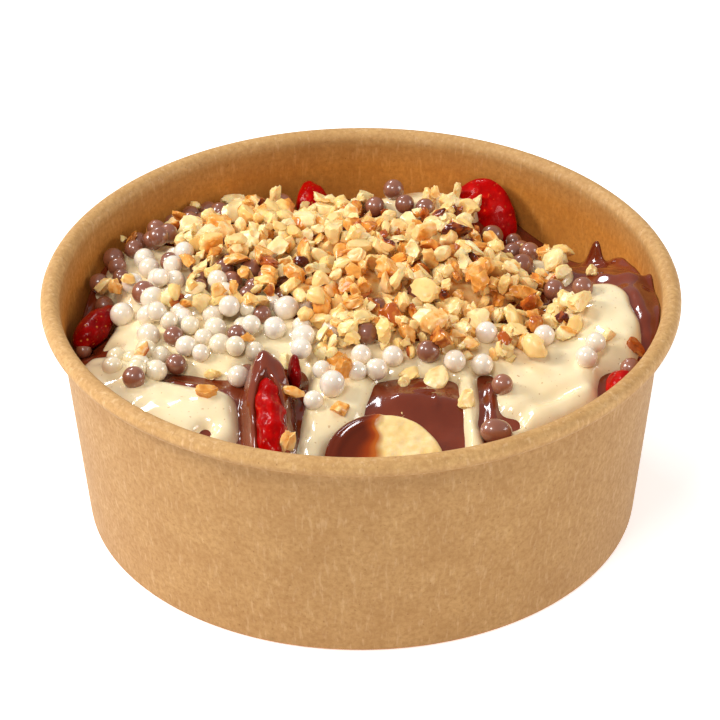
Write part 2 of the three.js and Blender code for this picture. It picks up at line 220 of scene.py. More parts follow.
# The rest, in patches: centre x, y, half width, half depth, number, share sunk.
WHITE_PATCHES = (
    (-33, -8, 13, 9, 16, 0.2),
    (-44, 4, 12, 12, 8, 0.12),
    (-52, -16.5, 7, 6.5, 8, 0.35),
    (-28, 4, 15, 9, 10, 0.05),
    (-50, 22, 9, 7, 5, 0.1),
    (-12, -11, 7, 4, 2, 0.15),
)
MILK_PATCHES = (
    (-32, 14, 11, 7, 9, 0.0),
    (-22, 8, 9, 4, 3, 0.0),
    (-52, 34, 7, 5, 6, 0.1),
    (-40, 50, 9, 5, 8, 0.1),
    (-60, 23, 4, 3, 2, 0.1),
    (36, 41, 6, 5, 3, 0.0),
    (0, 10, 34, 24, 14, 0.0),
)
# Nuts that stand out: x, y, half length, toast, and kind where it is no chip; shards stand upright.
MARKED_NUTS = (
    (-17.9, -17.0, 2.6, 0.0), (-61.6, 18.4, 3.4, 0.2), (-58.6, 15.2, 3.0, 0.3),
    (-55.0, 14.0, 2.6, 0.25), (-43.9, 4.1, 3.0, 0.1, "half"), (-40.0, 5.0, 2.4, 0.2),
    (-37.4, -1.0, 3.2, 0.1, "half"), (-33.6, 1.0, 2.8, 0.3), (-30.0, 1.6, 3.0, 0.35, "shard"),
    (-25.5, -2.1, 3.2, 0.3), (-13.1, -6.7, 3.6, 0.15, "half"), (-9.8, -2.5, 3.4, 0.05, "half"),
    (-26.5, -13.9, 2.2, 0.45, "flake"), (-34.8, -20.2, 3.2, 0.05, "flake"), (-35.6, -33.6, 3.4, 0.42),
    (-15.6, -34.2, 3.0, 0.3, "half"), (-17.0, -51.8, 4.8, 0.25, "shard"), (11.4, -23.6, 3.2, 0.05),
    (17.3, -25.0, 3.9, 0.15, "half"), (9.8, -27.0, 2.2, 0.05, "crumb"), (24.5, -33.9, 3.2, 0.1),
    (-3.9, -26.6, 5.4, 0.4, "shard"), (-4.8, -37.5, 3.0, 0.4), (8.5, -36.7, 2.4, 0.05, "flake"),
    (57.3, -14.6, 3.2, 0.25), (63.0, -17.0, 3.4, 0.7), (47.1, -7.3, 2.2, 1.0, "crumb"),
    (33.0, -16.3, 2.8, 0.75), (40.0, -17.9, 4.0, 0.05, "half"), (-21.0, 56.5, 4.4, 0.15, "shard"),
    (-43.6, 43.5, 3.8, 0.5, "flake"), (23.6, 58.0, 3.6, 0.0, "shard"), (28.4, 55.0, 4.2, 0.0, "shard"),
    (23.0, 25.3, 5.0, 0.92, "half"), (48.8, 31.0, 3.0, 0.15), (55.2, 18.9, 2.4, 0.1),
    (18.3, -18.6, 4.4, 0.6), (42.6, 12.3, 3.8, 0.5), (-22.0, 12.2, 3.2, 0.8),
    (-14.3, 14.2, 2.4, 1.0, "crumb"), (6.1, 48.1, 2.6, 0.8),
)
# Loose nuts, in patches: centre x, y, half width, half depth and number.
NUT_PATCHES = (
    (-26, 7, 18, 9, 22),
    (-38, 20, 9, 8, 12),
    (-58, 38, 4, 4, 4),
    (-36, 55, 12, 4, 6),
    (16, -20, 15, 2.5, 8),
    (-6, -15, 8, 5, 14),
    (14, -14.5, 26, 5.5, 48),
    (45, -4, 8, 9, 24),
    (-5, 55, 15, 4, 18),
    (-46, 44, 10, 7, 8),
    (19, 51, 9, 3, 7),
    (-45, 12, 10, 12, 5),
    (-46, -14, 9, 7, 1),
    (41, 32, 7, 8, 8),
)
HEAP_NUTS = 560
# How high the nuts are laid over the heaps' own height, and how far one may stand out of them.
HEAP_CARPET = 1.6
HEAP_SLACK = 1.6
FIRST_HEAP_SHARE = 0.7
NUT_TRIES = 20
# Half lengths of the nuts: median, spread of the logarithm, smallest and largest.
NUT_SIZE = (2.8, 0.27, 1.2, 4.2)
# Kinds of nut: breadth and thickness as shares of the length, and how many of the nuts are of it.
NUT_KINDS = {
    "chip": ((0.62, 0.9), (0.42, 0.66), 0.44),
    "half": ((0.6, 0.8), (0.42, 0.58), 0.2),
    "flake": ((0.6, 0.85), (0.2, 0.3), 0.1),
    "shard": ((0.42, 0.55), (0.3, 0.42), 0.1),
    "crumb": ((0.75, 1.0), (0.6, 0.9), 0.16),
}
# How many triangles all nuts share, and how much coarser than the sauce the core under them is.
NUT_TRIANGLES = 180000
CORE_RING_STEP = 3
CORE_AZIMUTH_STEP = 4
NUT_CREASE = 42
NUT_HOLLOW = 0.27
# Painted shade: how much more toasted a nut's hollows are coloured, and how much less its ridges.
HOLLOW_PAINTED_SHADE = 0.2
SHOWING_DEPTH = 1.2
LEAST_SHOWN = 0.05
NUT_SUNK = 0.25
MARKED_NUT_SUNK = 0.3
# Flat breaks and round bites in a nut, as shares of its reach and half length.
CUT_REACH = (0.4, 0.78)
BITE_RADIUS = (0.3, 0.65)
# How toasted the loose nuts are: the share of them up to each range, and the range.
NUT_TOAST = ((0.78, (0.0, 0.12)), (0.94, (0.2, 0.45)), (1.0, (0.5, 0.8)))

# ---- Fruit: half length, half width, half depth and taper; place; turns about X, Y and Z ----
STRAWBERRIES = {
    "strawberry_front": ((14.5, 3.7, 4.8, 0.12), (-21.0, -42.5, 47.6), (12, 0, 4)),
    "strawberry_sliver": ((4.6, 1.4, 3, 0.1), (-15.4, -24.6, 49.4), (30, 12, 12)),
    "strawberry_left": ((8.4, 4, 3.4, 0.2), (-62.8, 3.6, 44.4), (6, -30, -29)),
    "strawberry_back_right": ((9.5, 10.5, 3.2, 0.25), (29.4, 55.6, 42.8), (60, 0, -30)),
    "strawberry_back": ((5, 3.9, 3.8, 0.2), (-12, 61.5, 44), (40, 0, 10)),
    "strawberry_right": ((5.4, 4, 4.2, 0.2), (60.4, -27, 46), (10, 0, 25)),
}
# How uneven each one is, in millimetres, how bright its red is and how pale its seeds are.
STRAWBERRY_LOOKS = {
    "strawberry_front": (0.55, 0.85, 0.3),
    "strawberry_sliver": (0.15, 0.1, 0.0),
    "strawberry_left": (0.25, 0.35, 0.8),
    "strawberry_back_right": (0.16, 0.9, 0.15),
    "strawberry_back": (0.3, 0.9, 0.4),
    "strawberry_right": (0.3, 1.0, 0.1),
}
BANANA_RADIUS = 13.5
BANANA_HALF_THICKNESS = 3.2
BANANA_TILT = 24
BANANA_AT = (5.2, -54.3, 42.4)
BANANA_BEVEL = 0.8
BANANA_CORE = 3.4
COAT_ON_FACE = 0.55
COAT_ON_SIDE = 0.35
# Down the slice's side: drop, where the last is the whole side, and share of the bevel that is behind.
BANANA_SIDE = ((0.35, 0.55), (0.9, 0.95), (1.8, 1.0), (3.2, 1.0), (4.8, 1.0), (5.8, 0.8), (6.2, 0.0))
# The dips round a strawberry's pips.
PIPS = 60
PIP_RADIUS = 0.42
PIP_DIP = 0.16

# ---- Camera and light, in metres ----
CAMERA_AT = (0.0, -0.8348, 0.5795)
CAMERA_AIM = (-0.0003, 0.0036, 0.0344)
CAMERA_LENS = 210
CAMERA_SENSOR = 36
CAMERA_ROLL = -0.36
LIGHTS_AIM = (0, 0, 0.04)
# Lights: place, width and height, power and colour.
LIGHTS = {
    "key": ((-0.28, -0.66, 1.0), (0.28, 0.28), 4.4, (1.0, 0.98, 0.96)),
    "left": ((-0.95, 0.0, 0.72), (0.34, 0.34), 9.8, (1.0, 0.99, 0.97)),
    "right": ((1.05, -0.1, 0.5), (0.5, 0.5), 4.2, (1.0, 0.99, 0.98)),
    "back": ((-0.38, 0.75, 0.86), (0.3, 0.12), 3.2, (0.96, 0.96, 1.0)),
}
WORLD_LIGHT = 0.36
FLOOR_HALF_SIZE = 3000
FLOOR_GAP = 0.2


def linear(red, green, blue):
    """A screen colour from 0 to 255 as linear light."""
    shares = [channel / 255 for channel in (red, green, blue)]
    return tuple(s / 12.92 if s <= 0.04045 else ((s + 0.055) / 1.055) ** 2.4 for s in shares)


# ---- Shader nodes ----
def add_node(tree, kind, inputs=None, **settings):
    made = tree.nodes.new(kind)
    for key, value in settings.items():
        setattr(made, key, value)
    for key, value in (inputs or {}).items():
        connect(tree, value, made.inputs[key])
    return made


def connect(tree, value, socket):
    """Links a socket or sets a value; a colour of three numbers is a screen colour from 0 to 255."""
    if isinstance(value, bpy.types.NodeSocket):
        tree.links.new(value, socket)
    elif socket.type == "RGBA" and len(value) == 3:
        socket.default_value = (*linear(*value), 1)
    else:
        socket.default_value = value


def place_of(tree, stretch=(1, 1, 1)):
    """The place in the object, in metres times stretch."""
    place = add_node(tree, "ShaderNodeTexCoord").outputs["Object"]
    if stretch == (1, 1, 1):
        return place
    return add_node(tree, "ShaderNodeMapping", {0: place, "Scale": stretch}).outputs[0]


def noise(tree, size, detail=3.0, roughness=0.5, stretch=(1, 1, 1)):
    """Noise from 0 to 1 whose blobs are about size millimetres wide."""
    values = {
        "Vector": place_of(tree, stretch),
        "Scale": 1 / (size * MM),
        "Detail": detail,
        "Roughness": roughness,
    }
    return add_node(tree, "ShaderNodeTexNoise", values).outputs[0]


def remap(tree, value, low, high, to_low=0.0, to_high=1.0):
    values = {0: value, 1: low, 2: high, 3: to_low, 4: to_high}
    return add_node(tree, "ShaderNodeMapRange", values).outputs[0]


def blend_colours(tree, share, first, second, mode="MIX"):
    made = add_node(tree, "ShaderNodeMix", data_type="RGBA", blend_type=mode)
    for key, value in ((0, share), (6, first), (7, second)):
        connect(tree, value, made.inputs[key])
    return made.outputs[2]


def shaded(tree, base, value, span, colour, most=1.0):
    """The base colour going over to another while a value crosses the span."""
    return blend_colours(tree, remap(tree, value, *span, 0, most), base, colour)


def calculate(tree, operation, first, second):
    return add_node(tree, "ShaderNodeMath", {0: first, 1: second}, operation=operation).outputs[0]


def product(tree, first, second):
    return calculate(tree, "MULTIPLY", first, second)


def attribute(tree, name):
    return add_node(tree, "ShaderNodeAttribute", attribute_name=name).outputs["Fac"]


def bumped(tree, height, distance, strength=1.0, below=None):
    values = {"Height": height, "Distance": distance * MM, "Strength": strength}
    if below is not None:
        values["Normal"] = below
    return add_node(tree, "ShaderNodeBump", values).outputs[0]


def new_material(name, build):
    """A material whose principled shader gets the inputs that build(tree) returns."""
    material = bpy.data.materials.new(name)
    material.use_nodes = True
    tree = material.node_tree
    tree.nodes.clear()
    surface = add_node(tree, "ShaderNodeBsdfPrincipled", build(tree))
    add_node(tree, "ShaderNodeOutputMaterial", {0: surface.outputs[0]})
    return material


def coat_of(weight, ior, roughness):
    return {"Coat Weight": weight, "Coat IOR": ior, "Coat Roughness": roughness}


def scattering(weight, radius, scale):
    """Light that comes out again beside where it went in, by scale millimetres for red."""
    return {"Subsurface Weight": weight, "Subsurface Radius": radius, "Subsurface Scale": scale * MM}


def kraft_paper(tree):
    mottle = noise(tree, 1.1, 4, 0.65)
    fibre_up = noise(tree, 1.0, 2, 0.6, (1, 1, 0.22))
    fibre_round = noise(tree, 0.9, 2, 0.6, (0.3, 0.3, 1.4))
    speck = noise(tree, 0.55, 1, 0.4)
    base = shaded(tree, (175, 131, 76), noise(tree, 9), (0.35, 0.65), (185, 142, 86))
    base = shaded(tree, base, mottle, (0.36, 0.66), (157, 113, 63), 0.75)
    base = shaded(tree, base, fibre_up, (0.56, 0.72), (224, 188, 142), 0.24)
    base = shaded(tree, base, fibre_round, (0.58, 0.72), (168, 119, 68), 0.35)
    base = shaded(tree, base, speck, (0.755, 0.79), (120, 76, 36), 0.55)
    base = blend_colours(tree, attribute(tree, "inside"), base, INNER_TINT, "MULTIPLY")
    base = blend_colours(tree, attribute(tree, "rim"), base, RIM_TINT, "MULTIPLY")
    return {
        "Base Color": base,
        "Roughness": remap(tree, mottle, 0.3, 0.7, 0.5, 0.68),
        "Specular IOR Level": 0.3,
        "Normal": bumped(tree, mottle, 0.06, 0.6, bumped(tree, fibre_up, 0.05, 0.5)),
    }


def milk_chocolate_sauce(tree):
    return {
        "Base Color": shaded(tree, (108, 39, 15), noise(tree, 11), (0.3, 0.7), (127, 51, 24)),
        "Roughness": remap(tree, noise(tree, 4, 2), 0.3, 0.7, 0.08, 0.13),
        "Specular IOR Level": 0.35,
        "Normal": bumped(tree, noise(tree, 5, 2, 0.4), 0.5, 0.45),
        **coat_of(0.45, 1.6, 0.04),
        **scattering(0.06, (1.0, 0.4, 0.2), 1.2),
    }


def white_chocolate_sauce(tree):
    base = shaded(tree, (246, 223, 175), noise(tree, 14), (0.3, 0.7), (249, 231, 190))
    return {
        "Base Color": shaded(tree, base, noise(tree, 0.7, 0, 0.3), (0.79, 0.81), (190, 130, 66), 0.5),
        "Roughness": 0.14,
        "Normal": bumped(tree, noise(tree, 6, 2, 0.4), 0.4, 0.3),
        **coat_of(0.6, 1.6, 0.05),
        **scattering(0.25, (1.0, 0.75, 0.45), 2.0),
    }


def white_pearl(tree):
    base = blend_colours(tree, attribute(tree, "shade"), (243, 228, 209), (249, 240, 227))
    base = shaded(tree, base, noise(tree, 3.0, 2), (0.35, 0.65), (236, 214, 194), 0.35)
    return {
        "Base Color": blend_colours(tree, attribute(tree, "tint"), base, (243, 226, 186)),
        "Roughness": 0.32,
        **coat_of(1.0, 1.9, 0.12),
        **scattering(0.3, (1.0, 0.75, 0.5), 1.5),
    }


def milk_pearl(tree):
    base = blend_colours(tree, attribute(tree, "shade"), (122, 66, 44), (156, 94, 68))
    return {
        "Base Color": shaded(tree, base, noise(tree, 2.4, 2), (0.35, 0.65), (170, 108, 80), 0.3),
        "Roughness": 0.4,
        "Normal": bumped(tree, noise(tree, 1.8, 2), 0.05, 0.3),
        **coat_of(1.0, 1.6, 0.1),
    }


def chopped_nut(tree):
    grain = noise(tree, 1.6, 3, 0.55)
    patches = remap(tree, noise(tree, 2.2, 3), 0.3, 0.7, -0.14, 0.14)
    # The toast attribute carries real toast and also painted shade in the nuts' hollows.
    toasted = calculate(tree, "ADD", attribute(tree, "toast"), patches)
    pale = blend_colours(tree, attribute(tree, "shade"), (254, 210, 132), (255, 233, 178))
    pale = shaded(tree, pale, grain, (0.42, 0.7), (252, 200, 114), 0.4)
    golden = shaded(tree, pale, toasted, (0.16, 0.45), (240, 164, 70))
    brown = shaded(tree, golden, toasted, (0.45, 0.75), (176, 82, 24))
    return {
        "Base Color": shaded(tree, brown, toasted, (0.84, 1.0), (84, 20, 8)),
        "Roughness": remap(tree, toasted, 0.3, 0.8, 0.3, 0.16),
        "Normal": bumped(tree, grain, 0.12, 0.4),
        **scattering(remap(tree, toasted, 0.2, 0.6, 0.35, 0.08), (1.0, 0.6, 0.25), 1.6),
    }


def strawberry_flesh(tree):
    depth = attribute(tree, "depth")
    bright = attribute(tree, "bright")
    streak = noise(tree, 1.8, 3, 0.5, (1, 0.5, 1))
    low = blend_colours(tree, bright, (84, 0, 1), (164, 0, 0))
    high = blend_colours(tree, bright, (132, 2, 2), (196, 4, 2))
    base = blend_colours(tree, remap(tree, streak, 0.35, 0.7), low, high)
    flecks = product(tree, remap(tree, noise(tree, 1.1, 1, 0.4), 0.69, 0.75), bright)
    base = blend_colours(tree, product(tree, flecks, 0.6), base, (238, 84, 40))
    # Painted shade: the flesh is darker red where it dips round the pips.
    base = blend_colours(tree, product(tree, depth, 0.5), base, (96, 0, 2))
    pips = product(tree, remap(tree, depth, 0.42, 0.72), attribute(tree, "pale"))
    relief = bumped(tree, streak, 0.35, 0.5)
    return {
        "Base Color": blend_colours(tree, pips, base, (222, 138, 66)),
        "Roughness": 0.28,
        "Specular IOR Level": 0.1,
        "Specular Tint": (1.0, 0.25, 0.2, 1.0),
        "Normal": bumped(tree, noise(tree, 0.9, 2, 0.5), 0.14, 0.6, relief),
        **coat_of(0.1, 1.5, 0.06),
    }


def banana_and_coat(tree):
    coat = attribute(tree, "coat")
    grain = noise(tree, 1.5, 4, 0.6)
    flesh = shaded(tree, (240, 208, 138), grain, (0.35, 0.7), (247, 223, 170))
    flesh = shaded(tree, flesh, noise(tree, 5, 2), (0.4, 0.65), (233, 195, 116), 0.6)
    flesh = blend_colours(tree, attribute(tree, "ring"), flesh, (214, 176, 88))
    stained = shaded(tree, flesh, coat, (0.06, 0.34), (188, 98, 26))
    syrup = shaded(tree, stained, coat, (0.34, 0.62), (146, 54, 6))
    return {
        "Base Color": shaded(tree, syrup, coat, (0.66, 1.0), (94, 31, 8)),
        "Roughness": remap(tree, coat, 0.2, 0.7, 0.34, 0.08),
        "Specular IOR Level": remap(tree, coat, 0.2, 0.7, 0.4, 0.3),
        "Normal": bumped(tree, grain, 0.25, remap(tree, coat, 0.2, 0.6, 0.5, 0.05)),
        **scattering(remap(tree, coat, 0.2, 0.7, 0.3, 0.05), (1.0, 0.7, 0.35), 2.0),
    }


def pale_floor(tree):
    base = blend_colours(tree, noise(tree, 400, 2), (250, 250, 250), (253, 253, 253))
    return {
        "Base Color": base,
        "Roughness": 0.9,
        "Specular IOR Level": 0.1,
        "Emission Color": base,
        "Emission Strength": 0.5,
    }


# ---- Meshes ----
def add_object(name, data, place=(0, 0, 0), turn=Quaternion()):
    made = bpy.data.objects.new(name, data)
    made.location = place
    made.rotation_euler = turn.to_euler()
    bpy.context.scene.collection.objects.link(made)
    return made


def add_mesh(name, material, points, face_sets, attributes=None, sharp_angle=None):
    """A smooth-shaded object from points in millimetres and arrays of faces."""
    mesh = bpy.data.meshes.new(name)
    mesh.vertices.add(len(points))
    mesh.vertices.foreach_set("co", (np.asarray(points) * MM).astype(np.float32).ravel())
    corners = np.concatenate([faces.ravel() for faces in face_sets]).astype(np.int32)
    sizes = np.concatenate([np.full(len(faces), faces.shape[1]) for faces in face_sets])
    starts = np.concatenate([[0], np.cumsum(sizes)[:-1]]).astype(np.int32)
    mesh.loops.add(len(corners))
    mesh.loops.foreach_set("vertex_index", corners)
    mesh.polygons.add(len(sizes))
    mesh.polygons.foreach_set("loop_start", starts)
    for key, values in (attributes or {}).items():
        layer = mesh.attributes.new(key, "FLOAT", "POINT")
        layer.data.foreach_set("value", np.asarray(values, np.float32))
    mesh.update(calc_edges=True)
    mesh.validate()
    mesh.shade_smooth()
    if sharp_angle:
        mesh.set_sharp_from_angle(angle=math.radians(sharp_angle))
    mesh.materials.append(material)
    return add_object(name, mesh)


def add_piece(name, slot, nodes, material, *mesh_parts):
    """A mesh that rides with the bowl and stands for the given nodes, if there are any."""
    made = add_mesh(name, material, *mesh_parts)
    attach(made, "root")
    if nodes:
        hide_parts(*nodes)


def lathe(profile, segments, unevenness=0.0):
    """Points and faces of a closed profile of [radius, height] turned about Z."""
    radii, heights = np.array(profile, float).T[:, :, None]
    turn = np.linspace(0, 2 * math.pi, segments, endpoint=False)
    swell = unevenness * (np.cos(2 * turn + 0.7) + 0.6 * np.cos(3 * turn + 2.1))
    radius = radii + swell * (heights / BOWL_HEIGHT)
    heights = np.broadcast_to(heights, radius.shape)
    points = np.stack([radius * np.cos(turn), radius * np.sin(turn), heights], -1)
    index = np.arange(radius.size).reshape(radius.shape)
    after, below = np.roll(index, -1, 1), np.roll(index, -1, 0)
    faces = np.stack([index, after, np.roll(after, -1, 0), below], -1)
    return points.reshape(-1, 3), faces.reshape(-1, 4)


def ring_cells(shape):
    """Numbers of the points on stacked rings, the next ones round, and the corners of the cells between."""
    index = np.arange(shape[0] * shape[1]).reshape(shape)
    after = np.roll(index, -1, 1)
    return index, after, np.stack([index[:-1], index[1:], after[1:], after[:-1]], -1)


def closed_rings(shape):
    """Faces of stacked rings, closed at each end by a fan to one of the two points that follow them."""
    index, after, cells = ring_cells(shape)
    first, last = np.full(shape[1], index.size), np.full(shape[1], index.size + 1)
    fans = [np.stack([first, index[0], after[0]], -1), np.stack([last, after[-1], index[-1]], -1)]
    return [cells.reshape(-1, 4), np.concatenate(fans)]


def icosphere(subdivisions):
    grown = bmesh.new()
    bmesh.ops.create_icosphere(grown, subdivisions=subdivisions, radius=1.0)
    points = np.array([vertex.co[:] for vertex in grown.verts])
    faces = np.array([[vertex.index for vertex in face.verts] for face in grown.faces])
    grown.free()
    return points / np.linalg.norm(points, axis=1)[:, None], faces


class Crowd:
    """Many small bodies that make one piece."""

    def __init__(self):
        self.points, self.faces, self.layers, self.count = [], [], {}, 0

    def add(self, points, faces, **layers):
        self.points.append(points)
        self.faces.append(faces + self.count)
        self.count += len(points)
        for key, values in layers.items():
            spread = np.broadcast_to(np.asarray(values, float), (len(points),))
            self.layers.setdefault(key, []).append(spread)

    def mesh_parts(self):
        joined = {key: np.concatenate(values) for key, values in self.layers.items()}
        sizes = sorted({faces.shape[1] for faces in self.faces})
        face_sets = [np.concatenate([f for f in self.faces if f.shape[1] == size]) for size in sizes]
        return np.concatenate(self.points), face_sets, joined


def rotation(turns):
    return np.array(Euler([math.radians(turn) for turn in turns], "XYZ").to_matrix())


def random_rotation(rng):
    numbers = rng.normal(size=4)
    return np.array(Quaternion(numbers / np.linalg.norm(numbers)).to_matrix())


def random_spot(rng, cx, cy, half_x, half_y):
    """A random place in an ellipse, as likely in one part of it as in another."""
    angle = rng.uniform(0, 2 * math.pi)
    reach = math.sqrt(rng.uniform(0, 1))
    return cx + half_x * reach * math.cos(angle), cy + half_y * reach * math.sin(angle)


def random_direction(rng):
    direction = rng.normal(size=3)
    return direction / np.linalg.norm(direction)


def random_wave(rng, points, stiffness):
    """A wave through points in space, from -1 to 1; a higher stiffness makes it shorter."""
    return np.sin(points @ rng.normal(0, stiffness, 3) + rng.uniform(0, 6))


def smooth_step(value, low, high):
    share = np.clip((value - low) / (high - low), 0, 1)
    return share * share * (3 - 2 * share)


def make_waves(seed, count, shortest, longest):
    """Plane waves of random direction, as rows of wave numbers and phase."""
    rng = np.random.default_rng(seed)
    angle = rng.uniform(0, 2 * math.pi, count)
    number = 2 * math.pi / np.exp(rng.uniform(math.log(shortest), math.log(longest), count))
    phase = rng.uniform(0, 2 * math.pi, count)
    return np.stack([number * np.cos(angle), number * np.sin(angle), phase], -1)


def ripples(x, y, waves):
    """Soft ripples between about -1 and 1."""
    total = sum(np.sin(kx * x + ky * y + phase) for kx, ky, phase in waves)
    return total / math.sqrt(2 * len(waves))


# ---- Bowl ----
def inner_radius(height):
    return BASE_RADIUS - PAPER + WALL_SLOPE * height


def arc(radius, start, end, steps):
    angles = np.radians(np.linspace(start, end, steps))
    return [(CURL_RADIUS + radius * math.cos(a), CURL_HEIGHT + radius * math.sin(a)) for a in angles]


def make_bowl(paper):
    foot = BASE_RADIUS - FOOT_WIDTH
    profile = [(foot + FOOT_ROUNDING, 0), (BASE_RADIUS - FOOT_ROUNDING, 0), (BASE_RADIUS, 0.35)]
    for height in np.linspace(1.2, CURL_HEIGHT - GAP, 12):
        profile.append((inner_radius(height) + PAPER, height))
    profile += arc(ROLL_RADIUS - PAPER, ROLL_START, ROLL_END, 22)
    profile += arc(ROLL_RADIUS, ROLL_END, 180, 30)
    for height in np.linspace(CURL_HEIGHT - 1.5, FOOT_HEIGHT, 10):
        profile.append((inner_radius(height), height))
    profile += [(foot, FOOT_HEIGHT - 0.1), (foot, FOOT_ROUNDING)]
    points, faces = lathe(profile, BOWL_SEGMENTS, BOWL_UNEVENNESS)
    height = points[:, 2]
    within = np.hypot(points[:, 0], points[:, 1]) < inner_radius(height) + INSIDE_MARGIN
    inside = within * smooth_step(CURL_HEIGHT - height, *INSIDE_FADE)
    rim = smooth_step(height - CURL_HEIGHT, *RIM_FADE) * (1 - inside)
    looks = {"inside": inside, "rim": rim}
    add_piece("bowl_wall_paper", "kraft_paper", ["bowl_wall"], paper, points, [faces], looks, BOWL_CREASE)

    radius = inner_radius(FOOT_HEIGHT) - GAP
    low = BASE_DISC_TOP - PAPER
    rings = [(radius * share, low + 0.1 * (1 - share)) for share in np.linspace(0.02, 1, 12)]
    rings += [(radius * share, BASE_DISC_TOP) for share in np.linspace(1, 0.02, 12)]
    points, faces = lathe(rings, BOWL_SEGMENTS // 2)
    add_piece("bowl_base_paper", "kraft_paper", ["bowl_base"], paper, points, [faces], None, BOWL_CREASE)


# ---- Heights of the food ----
def bumps(x, y, humps):
    total = np.zeros_like(x)
    for cx, cy, rise, half_x, half_y in humps:
        total += rise * np.exp(-0.5 * (((x - cx) / half_x) ** 2 + ((y - cy) / half_y) ** 2))
    return total


def off_line(x, y, ax, ay, bx, by):
    """How far a place is from the line from a to b."""
    dx, dy = bx - ax, by - ay
    along = np.clip(((x - ax) * dx + (y - ay) * dy) / (dx * dx + dy * dy), 0, 1)
    return np.hypot(x - ax - along * dx, y - ay - along * dy)


def depth_in_stroke(x, y, stroke):
    *line, half_width = stroke
    return half_width - off_line(x, y, *line)


def flow_together(depths):
    depths = np.array(depths)
    largest = depths.max(0)
    return largest + SAUCE_FLOW * np.log(np.exp((depths - largest) / SAUCE_FLOW).sum(0))


def hood_height(x, y):
    """The hood over the front strawberry, with the slot that the strawberry shows through."""
    dx, dy = HOOD_TOE[0] - HOOD_TIP[0], HOOD_TOE[1] - HOOD_TIP[1]
    length = math.hypot(dx, dy)
    along = ((x - HOOD_TIP[0]) * dx + (y - HOOD_TIP[1]) * dy) / length
    across = np.abs(((x - HOOD_TIP[0]) * dy - (y - HOOD_TIP[1]) * dx) / length)
    tip = np.clip(along / HOOD_POINT, 0, 1)
    width = HOOD_HALF_WIDTH * (1 - (1 - tip) ** 2) ** 0.6 + 1e-3
    rise = HOOD_HEIGHT * np.sqrt(1 - (1 - np.clip(along / HOOD_STEEP, 0, 1)) ** 2)
    rise = rise * (1 - HOOD_FALL * np.clip((along - HOOD_STEEP) / (length - HOOD_STEEP), 0, 1) ** 1.2)
    dome = (1 - np.clip(across / width, 0, 1) ** 2) ** 0.7
    slot = SLOT_HALF_WIDTH * np.sqrt(np.clip((along - SLOT_START) / SLOT_OPENING, 0, 1))
    inside = smooth_step(slot + 0.7 - across, 0, 1.2) * (along > SLOT_START - 0.5)
    return rise * dome - SLOT_DEPTH * inside


def splash_height(x, y, radius_left):
    azimuth = np.degrees(np.arctan2(y, x))
    total = WALL_CLIMB * np.exp(-radius_left)
    for middle, rise, half_width, reach in SPLASHES:
        off = np.abs((azimuth - middle + 180) % 360 - 180) / half_width
        total = total + rise * np.exp(-(off**2.2)) * np.exp(-radius_left / reach)
    return total


BED_WAVES = make_waves(SEED, 9, 9, 24)
FINE_WAVES = make_waves(SEED + 1, 9, 4, 8)
SAUCE_WAVES = make_waves(SEED + 2, 9, 12, 28)
EDGE_WAVES = make_waves(SEED + 3, 9, 7, 16)


def bed_height(x, y):
    """The milk chocolate over the pancakes."""
    height = BED_HEIGHT + bumps(x, y, BED_HUMPS) + hood_height(x, y)
    for *line, half_width, rise in FOLDS:
        height += rise * np.exp(-((off_line(x, y, *line) / half_width) ** 2))
    height += 0.4 * ripples(x, y, BED_WAVES) + 0.1 * ripples(x, y, FINE_WAVES)
    left = np.clip(inner_radius(height) - np.hypot(x, y), 0, None)
    return height + splash_height(x, y, left)


def sauce_depth(x, y):
    poured = flow_together([depth_in_stroke(x, y, stroke) for stroke in POURS])
    windows = [depth_in_stroke(x, y, stroke) for stroke in WINDOWS]
    cx, cy, half_x, half_y, _ = HEAPS[0]
    under_heap = (HEAP_BARE - np.hypot((x - cx) / half_x, (y - cy) / half_y)) * half_y
    edge = 0.3 * ripples(x, y, EDGE_WAVES)
    return -flow_together([-poured, under_heap, *windows]) + edge


def sauce_thickness(x, y):
    """Thickness of the white sauce; outside it the surface dips below the chocolate."""
    depth = sauce_depth(x, y)
    inside = np.clip(depth, 0, None)
    rounded = SAUCE_THICKNESS * (1 - np.exp(-inside / SAUCE_ROUNDING))
    crown = SAUCE_CROWN * (1 - np.exp(-inside / CROWN_REACH))
    ripple = 0.35 * ripples(x, y, SAUCE_WAVES) * smooth_step(depth, 0.5, 4)
    outside = np.clip(depth, None, 0) * SAUCE_THICKNESS / SAUCE_ROUNDING
    return np.maximum(rounded + crown + ripple + outside, -SAUCE_DIP)


def cover_height(x, y):
    return bed_height(x, y) + np.maximum(0, sauce_thickness(x, y))


def heap_thickness(x, y):
    heights = [
        height * (1 - ((x - cx) / half_x) ** 2 - ((y - cy) / half_y) ** 2)
        for cx, cy, half_x, half_y, height in HEAPS
    ]
    return np.max(heights, axis=0)


def heap_height(x, y):
    """The top of the nuts over one place."""
    return cover_height(np.array([x]), np.array([y])) + max(0, heap_thickness(x, y))


# ---- Surfaces on rings round the bowl ----
def ring_grid():
    """Places on rings round the bowl; the last ring follows the wall."""
    turn = np.linspace(0, 2 * math.pi, AZIMUTHS, endpoint=False)
    outer = np.full(AZIMUTHS, inner_radius(BED_HEIGHT))
    for _ in range(4):
        height = cover_height(outer * np.cos(turn), outer * np.sin(turn))
        outer = inner_radius(height) - FOOD_CLEARANCE
    radius = (np.arange(1, RINGS + 1) / RINGS)[:, None] * outer[None, :]
    return radius * np.cos(turn), radius * np.sin(turn)


def make_block(x, y, top, bottom):
    """Points and faces of a solid under a height field on the ring grid, down to a flat bottom."""
    scale = (inner_radius(bottom) - FOOD_CLEARANCE) / np.hypot(x[-1], y[-1])
    low_ring = np.stack([x[-1] * scale, y[-1] * scale, np.full(AZIMUTHS, bottom)], -1)
    upper = np.stack([x, y, top], -1).reshape(-1, 3)
    middle = [[0, 0, top[0].mean()], [0, 0, bottom]]
    return np.concatenate([upper, low_ring, middle]), closed_rings((RINGS + 1, AZIMUTHS))


